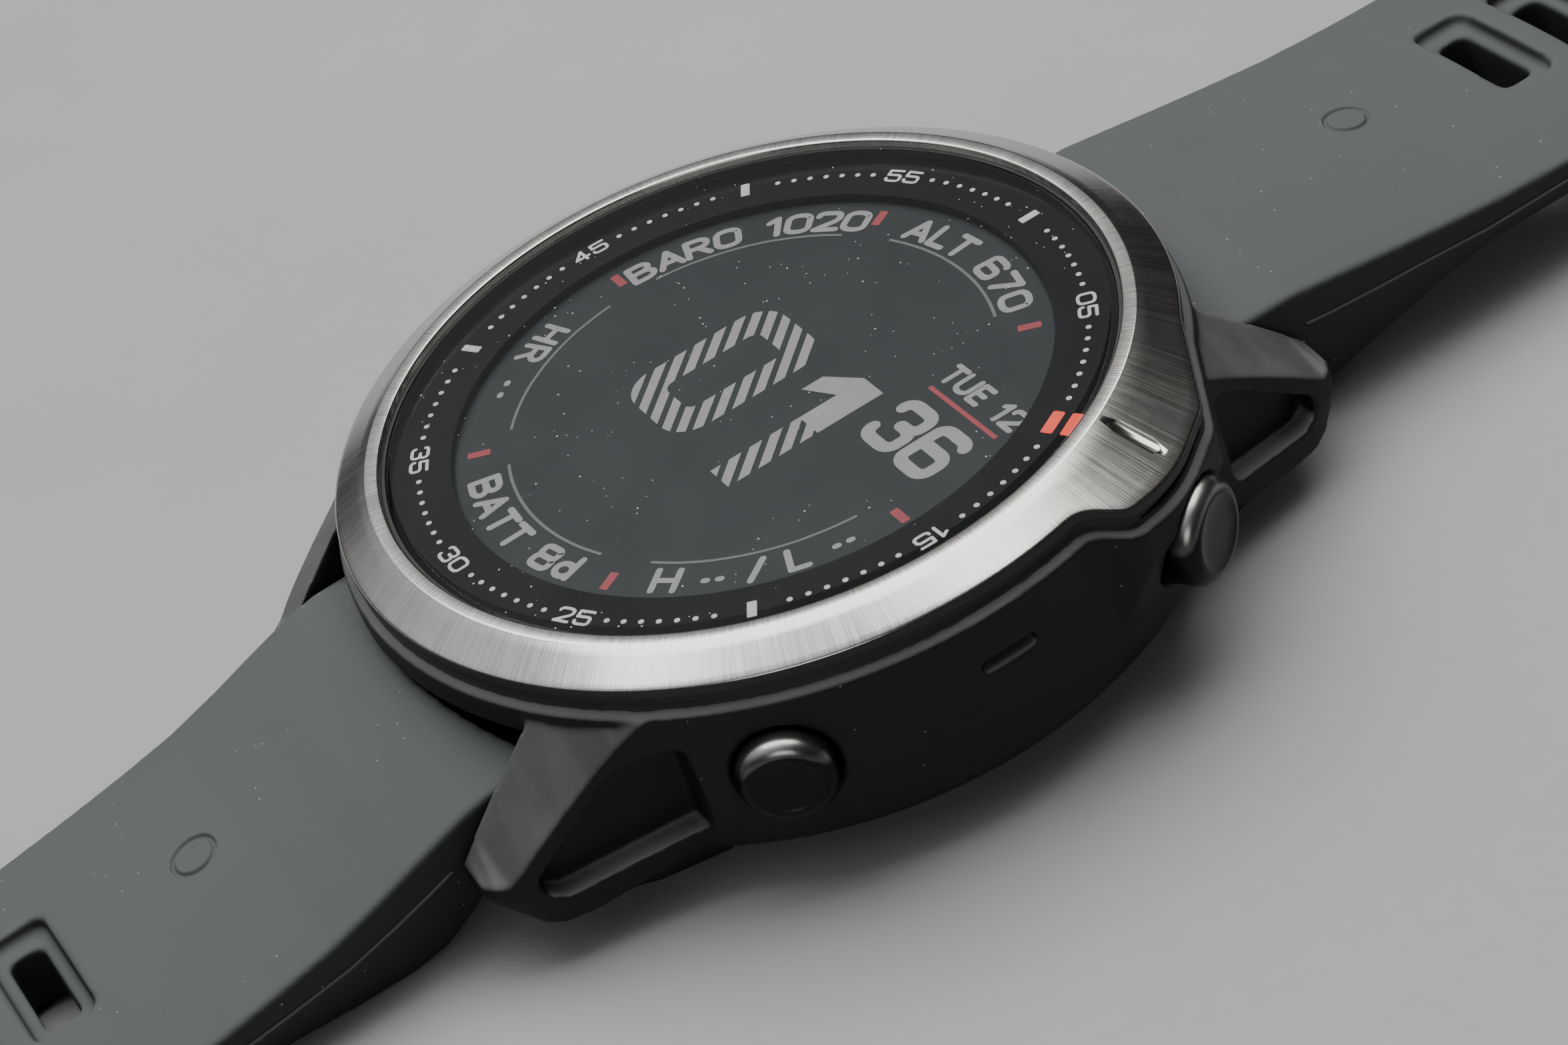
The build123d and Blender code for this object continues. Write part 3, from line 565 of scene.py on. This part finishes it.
long_me = moulded("strap_long", strap_vox, 16)
short_me = moulded("strap_short", strap_vox, 16)
engrave_ring(long_me, -33.6, 1.1, 0.2, 0.16)
engrave_ring(short_me, 35.3, 1.1, 0.2, 0.16)
link("strap_long_moulded", long_me, "long_half", "strap_silicone", replaces=["strap_long"])
link("strap_short_moulded", short_me, "short_half", "strap_silicone", replaces=["strap_short"])
seam_bead("strap_long_seam", LONG_TOP, LONG_W, -1, 24.6, 126.5, "long_half")
seam_bead("strap_short_seam", SHORT_TOP, SHORT_W, 1, 24.6, 80.0, "short_half")
link("keeper_fixed_moulded", moulded("keeper_fixed", 0.16, 4), "short_half", "strap_silicone", replaces=["keeper_fixed"])
link("keeper_free_moulded", moulded("keeper_free", 0.16, 4), "sliding_keeper", "strap_silicone", replaces=["keeper_free"])


# ------------------------------------------------------------------ buckle with eased edges
def eased(node, width_mm, voxel_mm=0.09, rounds=4):
    return moulded(node, voxel_mm, rounds)


link("buckle_frame_eased", eased("buckle_frame", 0.2), "buckle", "buckle_steel", replaces=["buckle_frame"])
link("buckle_tongue_eased", eased("buckle_tongue", 0.2), "tongue", "buckle_steel", replaces=["buckle_tongue"])

# ------------------------------------------------------------------ buttons
BUTTONS = {"start": 60.0, "back": 120.0, "down": 240.0, "up": 270.0, "light": 300.0}
for name, azd in BUTTONS.items():
    a = math.radians(azd)
    F, R = (23.7, 2.58) if name == "start" else (22.5, 2.33)
    prof = [(0, F - 0.10), (R - 1.58, F - 0.095), (R - 1.08, F - 0.075), (R - 0.90, F - 0.04), (R - 0.82, F - 0.015)]
    prof += [(R - 0.80 + 0.80 * math.sin(math.radians(q)), F - 0.80 + 0.80 * math.cos(math.radians(q))) for q in range(6, 91, 7)]
    prof += [(R, F - 1.2), (R, 20.98), (R - 0.06, 20.9), (1.0, 20.9), (1.0, 18.62), (0.74, 18.60), (0.74, 18.0), (1.0, 17.98),
             (1.0, 16.84), (0.69, 16.82), (0.69, 16.5), (1.0, 16.48), (1.0, 15.65), (0.94, 15.6), (0, 15.6)]
    v, f = lathe(prof, 96)
    rot = Matrix(((math.cos(a), 0, math.sin(a)), (-math.sin(a), 0, math.cos(a)), (0, 1, 0)))
    pts = [tuple(rot @ Vector(p) + Vector((0, 0, 7.4))) for p in v]
    link("button_%s_cap" % name, clean_normals(from_geo("button_%s_cap" % name, pts, f)), "button_%s_body" % name, "button_steel", replaces=["button_%s" % name])


# ------------------------------------------------------------------ marks on the chapter ring and the display
def rot2(x, y, t):
    """Turns (x, y) clockwise by t degrees, as azimuths run on the dial."""
    c, s = math.cos(math.radians(t)), math.sin(math.radians(t))
    return x * c + y * s, -x * s + y * c


class Print:
    """Flat printed shapes collected into one thin solid mesh."""

    def __init__(self, z0, z1):
        self.v, self.f, self.z0, self.z1 = [], [], z0, z1

    def poly(self, pts):
        n, s = len(pts), len(self.v)
        area = sum(pts[i][0] * pts[(i + 1) % n][1] - pts[(i + 1) % n][0] * pts[i][1] for i in range(n))
        if area < 0:
            pts = list(reversed(pts))
        self.k = (getattr(self, "k", 0) + 1) % 17
        top = self.z1 + 0.0006 * self.k
        self.v += [(x, y, self.z0 - 0.0006 * self.k) for x, y in pts] + [(x, y, top) for x, y in pts]
        self.f.append(tuple(s + n + i for i in range(n)))
        self.f.append(tuple(s + n - 1 - i for i in range(n)))
        for i in range(n):
            j = (i + 1) % n
            self.f.append((s + i, s + j, s + n + j, s + n + i))

    def dot(self, r, t, rad, n=20):
        x, y = rot2(0, r, t)
        self.poly([(x + rad * math.cos(2 * math.pi * k / n), y + rad * math.sin(2 * math.pi * k / n)) for k in range(n)])

    def bar(self, r, t, w, h, round_=0.06, dx=0.0):
        """A rounded bar centred at radius r, w wide along the ring and h deep along the radius."""
        pts = []
        for sx, sy, a0 in ((1, 1, 0), (-1, 1, 90), (-1, -1, 180), (1, -1, 270)):
            for k in range(5):
                q = math.radians(a0 + 90 * k / 4)
                pts.append((sx * (w / 2 - round_) + round_ * math.cos(q) + dx, sy * (h / 2 - round_) + round_ * math.sin(q) + r))
        self.poly([rot2(x, y, t) for x, y in pts])

    def arc_line(self, r, t0, t1, w, n=40):
        for k in range(n):
            a, b = t0 + (t1 - t0) * k / n, t0 + (t1 - t0) * (k + 1) / n
            self.poly([rot2(0, r - w / 2, a), rot2(0, r + w / 2, a), rot2(0, r + w / 2, b), rot2(0, r - w / 2, b)])

    def stroke(self, pts, w, place):
        """A polyline drawn with a round pen; place maps pen coordinates to the dial."""
        for (x0, y0), (x1, y1) in zip(pts, pts[1:]):
            d = math.hypot(x1 - x0, y1 - y0)
            if d < 1e-9:
                continue
            nx, ny = -(y1 - y0) / d * w / 2, (x1 - x0) / d * w / 2
            a = math.atan2(y1 - y0, x1 - x0)
            ring = [(x1 + w / 2 * math.cos(a - math.pi / 2 + math.pi * k / 6), y1 + w / 2 * math.sin(a - math.pi / 2 + math.pi * k / 6)) for k in range(7)]
            ring += [(x0 + w / 2 * math.cos(a + math.pi / 2 + math.pi * k / 6), y0 + w / 2 * math.sin(a + math.pi / 2 + math.pi * k / 6)) for k in range(7)]
            self.poly([place(x, y) for x, y in ring])

    def make(self, name, slot, mat):
        me = from_geo(name, self.v, self.f)
        return link(name, me, "root", slot, mat=mat, smooth=False)


def curve_pts(cx, cy, rx, ry, a0, a1, n=8):
    return [(cx + rx * math.cos(math.radians(a0 + (a1 - a0) * k / n)), cy + ry * math.sin(math.radians(a0 + (a1 - a0) * k / n))) for k in range(n + 1)]


def glyph(ch):
    """Pen strokes of a character in a box 0.62 wide and 1 high, and its width."""
    W = 0.60
    r = 0.2
    q = lambda *p: list(p)
    rr = lambda x0, y0, x1, y1, rad=r: (curve_pts(x1 - rad, y1 - rad, rad, rad, 0, 90, 4) + curve_pts(x0 + rad, y1 - rad, rad, rad, 90, 180, 4)
                                        + curve_pts(x0 + rad, y0 + rad, rad, rad, 180, 270, 4) + curve_pts(x1 - rad, y0 + rad, rad, rad, 270, 360, 4))
    if ch == '0' or ch == 'O':
        p = rr(0, 0, W, 1, 0.25)
        return [p + [p[0]]], W
    if ch == '1':
        return [[(0.06, 0.78), (0.3, 1.0), (0.3, 0.0)]], 0.36
    c = lambda cx, cy, a0, a1, rx=0.17, ry=0.17: curve_pts(cx, cy, rx, ry, a0, a1, 4)
    if ch == '2':
        return [[(0.0, 0.80)] + c(0.17, 0.83, 180, 90) + c(W - 0.17, 0.83, 90, 0) + [(W, 0.66), (W - 0.08, 0.50), (0.0, 0.0), (W, 0.0)]], W
    if ch == '3':
        return [c(0.17, 0.83, 190, 90) + c(W - 0.17, 0.83, 90, 0) + c(W - 0.17, 0.69, 0, -90) + [(0.31, 0.52)],
                [(0.31, 0.52)] + c(W - 0.17, 0.35, 90, 0) + c(W - 0.17, 0.17, 0, -90) + c(0.17, 0.17, 270, 170)], W
    if ch == '4':
        return [[(0.42, 0.0), (0.42, 1.0), (0.0, 0.28), (W, 0.28)]], W
    if ch == '5':
        return [[(W, 1.0), (0.03, 1.0), (0.02, 0.57)] + c(W - 0.17, 0.41, 90, 0) + c(W - 0.17, 0.17, 0, -90) + c(0.17, 0.17, 270, 180) + [(0.0, 0.23)]], W
    if ch == '6':
        return [c(W - 0.17, 0.83, 25, 90) + c(0.17, 0.83, 90, 180) + c(0.17, 0.17, 180, 270) + c(W - 0.17, 0.17, 270, 360) + c(W - 0.17, 0.37, 0, 90) + [(0.03, 0.54)]], W
    if ch == '7':
        return [[(0.0, 1.0), (W, 1.0), (0.2, 0.0)]], W
    if ch == '8':
        a = rr(0.02, 0.52, W - 0.02, 1, 0.15)
        b = rr(0, 0, W, 0.52, 0.17)
        return [a + [a[0]], b + [b[0]]], W
    if ch == 'A':
        return [[(0, 0), (W / 2, 1.0), (W, 0)], [(0.11, 0.3), (W - 0.11, 0.3)]], W
    if ch == 'B':
        return [[(0, 0), (0, 1.0), (0.33, 1.0)] + curve_pts(0.33, 0.76, 0.22, 0.24, 90, -90, 8) + [(0, 0.52)], [(0.33, 0.52)] + curve_pts(0.34, 0.26, 0.25, 0.26, 90, -90, 8) + [(0, 0)]], W
    if ch == 'D':
        return [[(0, 0), (0, 1), (0.25, 1)] + curve_pts(0.25, 0.5, 0.35, 0.5, 90, -90, 10) + [(0, 0)]], W
    if ch == 'd':
        return [[(0.5, 0.0), (0.5, 1.0)], curve_pts(0.25, 0.32, 0.25, 0.32, 0, 360, 14)], 0.5
    if ch == 'E':
        return [[(0.5, 0), (0, 0), (0, 1), (0.5, 1)], [(0, 0.52), (0.44, 0.52)]], 0.5
    if ch == 'H':
        return [[(0, 0), (0, 1)], [(W, 0), (W, 1)], [(0, 0.5), (W, 0.5)]], W
    if ch == 'L':
        return [[(0, 1), (0, 0), (0.46, 0)]], 0.46
    if ch == 'R':
        return [[(0, 0), (0, 1), (0.33, 1)] + curve_pts(0.33, 0.74, 0.24, 0.26, 90, -90, 8) + [(0, 0.48)], [(0.3, 0.48), (0.58, 0)]], W
    if ch == 'T':
        return [[(0, 1), (0.56, 1)], [(0.28, 1), (0.28, 0)]], 0.56
    if ch == 'U':
        return [[(0, 1), (0, 0.28)] + curve_pts(W / 2, 0.28, W / 2, 0.28, 180, 360, 8) + [(W, 1)]], W
    if ch == '-':
        return [[(0.07, 0.38), (0.14, 0.38)]], 0.21
    if ch == '/':
        return [[(0, 0), (0.34, 1)]], 0.34
    return [], 0.34


def write(pr, text, size, w, gap, place, squeeze=1.0):
    """Draws text centred on the origin of place's coordinates, size high; glyphs keep upright in place(u0, x, y)."""
    items, u = [], 0.0
    for ch in text:
        strokes, width = glyph(ch)
        items.append((u + width * size * squeeze / 2, strokes, width))
        u += width * size * squeeze + gap
    total = u - gap
    for c, strokes, width in items:
        for st in strokes:
            pts = [((x - width / 2) * size * squeeze, (y - 0.5) * (size - w)) for x, y in st]
            pr.stroke(pts, w, lambda x, y, c=c: place(c - total / 2, x, y))


def on_arc(r, az, inward=False):
    def place(u, x, y):
        if inward:
            return rot2(-x, r - y, az - math.degrees(u / r))
        return rot2(x, r + y, az + math.degrees(u / r))
    return place


def straight(cx, cy):
    return lambda u, x, y: (cx + u + x, cy + y)


Z_RING, Z_DISP = 12.90, 12.45
white = Print(Z_RING - 0.01, Z_RING + 0.018)
for k in range(12):
    for j in range(7):
        white.dot(16.6, k * 30 + 6 + 3 * j, 0.145)
for t in (0, 120, 240, 300):
    white.bar(16.6, t, 0.46, 1.06)
for t, s, inward in ((30, "05", False), (90, "15", False), (150, "25", True), (180, "30", True), (210, "35", True), (270, "45", False), (330, "55", False)):
    write(white, s, 1.0, 0.17, 0.30, on_arc(16.6, t, inward), 1.25)
white.make("ring_marks", "dial_black", "print_white")
red = Print(Z_RING - 0.01, Z_RING + 0.03)
red.bar(16.50, 60, 1.55, 0.62, 0.12)
red.bar(17.50, 60, 1.55, 0.62, 0.12)
red.make("ring_marks_red", "dial_black", "print_red")

grey = Print(Z_DISP - 0.01, Z_DISP + 0.012)
write(grey, "ALT 670", 1.72, 0.36, 0.48, on_arc(13.35, 1), 1.12)
write(grey, "BARO 1020", 1.72, 0.36, 0.42, on_arc(13.35, 300), 1.12)
write(grey, "BATT 8d", 1.72, 0.36, 0.46, on_arc(13.5, 180, True), 1.08)
write(grey, "HR --", 1.72, 0.33, 0.55, on_arc(13.4, 240, True), 0.98)
write(grey, "H -- / L --", 1.72, 0.34, 0.30, on_arc(13.4, 120, True), 1.05)
write(grey, "TUE 12", 1.45, 0.30, 0.34, straight(9.65, 7.35), 1.0)
write(grey, "36", 3.5, 0.70, 0.86, straight(9.65, 3.5), 0.98)


def clip(poly, nx, ny, d, keep_less=True):
    """The part of a convex polygon with nx*x+ny*y below (or above) d."""
    out = []
    s = 1 if keep_less else -1
    f = lambda p: s * (nx * p[0] + ny * p[1] - d)
    for i, p in enumerate(poly):
        q = poly[(i + 1) % len(poly)]
        fp, fq = f(p), f(q)
        if fp <= 0:
            out.append(p)
        if (fp < 0 < fq) or (fq < 0 < fp):
            t = fp / (fp - fq)
            out.append((p[0] + (q[0] - p[0]) * t, p[1] + (q[1] - p[1]) * t))
    return out


SN, SM = math.sin(math.radians(45)), math.cos(math.radians(45))


def striped(pr, quad, pitch=0.83, duty=0.60, phase=0.2):
    vals = [SN * x + SM * y for x, y in quad]
    k = math.floor(min(vals) / pitch) - 1
    while k * pitch < max(vals):
        lo, hi = k * pitch + phase, k * pitch + phase + pitch * duty
        p = clip(clip(quad, SN, SM, lo, False), SN, SM, hi, True)
        if len(p) >= 3:
            a = abs(sum(p[i][0] * p[(i + 1) % len(p)][1] - p[(i + 1) % len(p)][0] * p[i][1] for i in range(len(p)))) / 2
            if a > 1e-3:
                pr.poly(p)
        k += 1


def rr_ring(x0, y0, x1, y1, rad, n=8):
    return (curve_pts(x1 - rad, y1 - rad, rad, rad, 0, 90, n) + curve_pts(x0 + rad, y1 - rad, rad, rad, 90, 180, n)
            + curve_pts(x0 + rad, y0 + rad, rad, rad, 180, 270, n) + curve_pts(x1 - rad, y0 + rad, rad, rad, 270, 360, n))


o_out, o_in = rr_ring(-5.55, -4.5, 0.48, 4.3, 1.75), rr_ring(-3.85, -2.85, -1.22, 2.65, 0.55)
for k in range(len(o_out)):
    j = (k + 1) % len(o_out)
    striped(grey, [o_out[k], o_out[j], o_in[j], o_in[k]])
for part in ([(3.72, -4.5), (5.45, -4.5), (5.45, 4.3), (3.72, 4.3)], [(1.95, 1.75), (3.72, 2.7), (3.72, 4.3), (1.95, 3.0)]):
    upper = clip(part, 0, 1, 0.55, False)
    lower = clip(part, 0, 1, 0.55, True)
    if len(upper) >= 3:
        grey.poly(upper)
    if len(lower) >= 3:
        striped(grey, lower)
grey.make("display_digits", "display_glass", "pixel_grey")
dim = Print(Z_DISP - 0.01, Z_DISP + 0.010)
for t in (0, 120, 180, 240, 300):
    dim.arc_line(12.2 if t != 180 else 12.2, t - 23.5, t + 23.5, 0.16)
dim.make("display_arcs", "display_glass", "pixel_dim")
red2 = Print(Z_DISP - 0.01, Z_DISP + 0.012)
for t in (30, 90, 150, 210, 270, 330):
    red2.bar(13.7, t, 0.46, 1.16, 0.05)
red2.poly([(6.85, 5.95), (12.6, 5.95), (12.6, 6.2), (6.85, 6.2)])
red2.make("display_marks_red", "display_glass", "pixel_red")

# ------------------------------------------------------------------ stage
fm = Tree("floor")
n1 = fm.noise(60, 4.0, 0.6)
n2 = fm.noise(1.2, 3.0, 0.6)
fm.shader(Base_Color=fm.ramp(n1, [(0.3, (0.36, 0.36, 0.37)), (0.7, (0.41, 0.41, 0.42))]), Roughness=fm.span(n2, 0.3, 0.7, 0.6, 0.75), Normal=fm.bump(n2, 0.03))
floor_me = bpy.data.meshes.new("floor")
bm = bmesh.new()
bmesh.ops.create_grid(bm, x_segments=2, y_segments=2, size=2.0)
bm.to_mesh(floor_me)
bm.free()
floor = bpy.data.objects.new("floor", floor_me)
floor_me.materials.append(fm.mat)
floor.location = (0, 0, 0)
col.objects.link(floor)

world = bpy.data.worlds.new("studio")
bpy.context.scene.world = world
world.use_nodes = True
wt = world.node_tree
bg = wt.nodes["Background"]
bg.inputs[0].default_value = (0.95, 0.97, 1.0, 1)
wco = wt.nodes.new("ShaderNodeTexCoord")
wsep = wt.nodes.new("ShaderNodeSeparateXYZ")
wt.links.new(wco.outputs["Generated"], wsep.inputs[0])
wmap = wt.nodes.new("ShaderNodeValToRGB")
e = wmap.color_ramp.elements
e[0].position, e[0].color = 0.0, (0.02, 0.02, 0.022, 1)
e[1].position, e[1].color = 1.0, (0.78, 0.79, 0.81, 1)
for pos, v in ((0.46, 0.03), (0.62, 0.15), (0.76, 0.44)):
    k = e.new(pos)
    k.color = (v, v, v * 1.02, 1)


def wmath(op, a, b):
    n = wt.nodes.new("ShaderNodeMath")
    n.operation = op
    for sock, v in zip(n.inputs, (a, b)):
        if hasattr(v, "is_output"):
            wt.links.new(v, sock)
        else:
            sock.default_value = v
    return n.outputs[0]


# the room is brighter towards one side, like a wide window
side = wmath('ADD', wmath('MULTIPLY', wsep.outputs[0], -0.87), wmath('MULTIPLY', wsep.outputs[1], -0.50))
wt.links.new(wmath('ADD', wsep.outputs[2], wmath('MULTIPLY', side, 0.42)), wmap.inputs[0])
lp = wt.nodes.new("ShaderNodeLightPath")
wmix = wt.nodes.new("ShaderNodeMix")
wmix.data_type = 'RGBA'
wt.links.new(lp.outputs["Is Camera Ray"], wmix.inputs[0])
wt.links.new(wmap.outputs[0], wmix.inputs[6])
wmix.inputs[7].default_value = (0.62, 0.62, 0.63, 1)
wt.links.new(wmix.outputs[2], bg.inputs[0])
bg.inputs[1].default_value = 1.0


def softbox(name, loc, target, size, size_y, energy, colour=(1, 1, 1)):
    li = bpy.data.lights.new(name, 'AREA')
    li.shape = 'RECTANGLE'
    li.size, li.size_y = size, size_y
    li.energy = energy
    li.color = colour
    o = bpy.data.objects.new(name, li)
    col.objects.link(o)
    o.location = loc
    o.rotation_euler = (Vector(target) - Vector(loc)).to_track_quat('-Z', 'Y').to_euler()
    return o


softbox("key", (-0.22, 0.10, 0.72), (0, 0, 0), 0.95, 0.76, 8.0, (1.0, 0.985, 0.96))
softbox("front_low", (0.55, -0.30, 0.30), (0, 0, 0), 0.35, 0.25, 0.5)
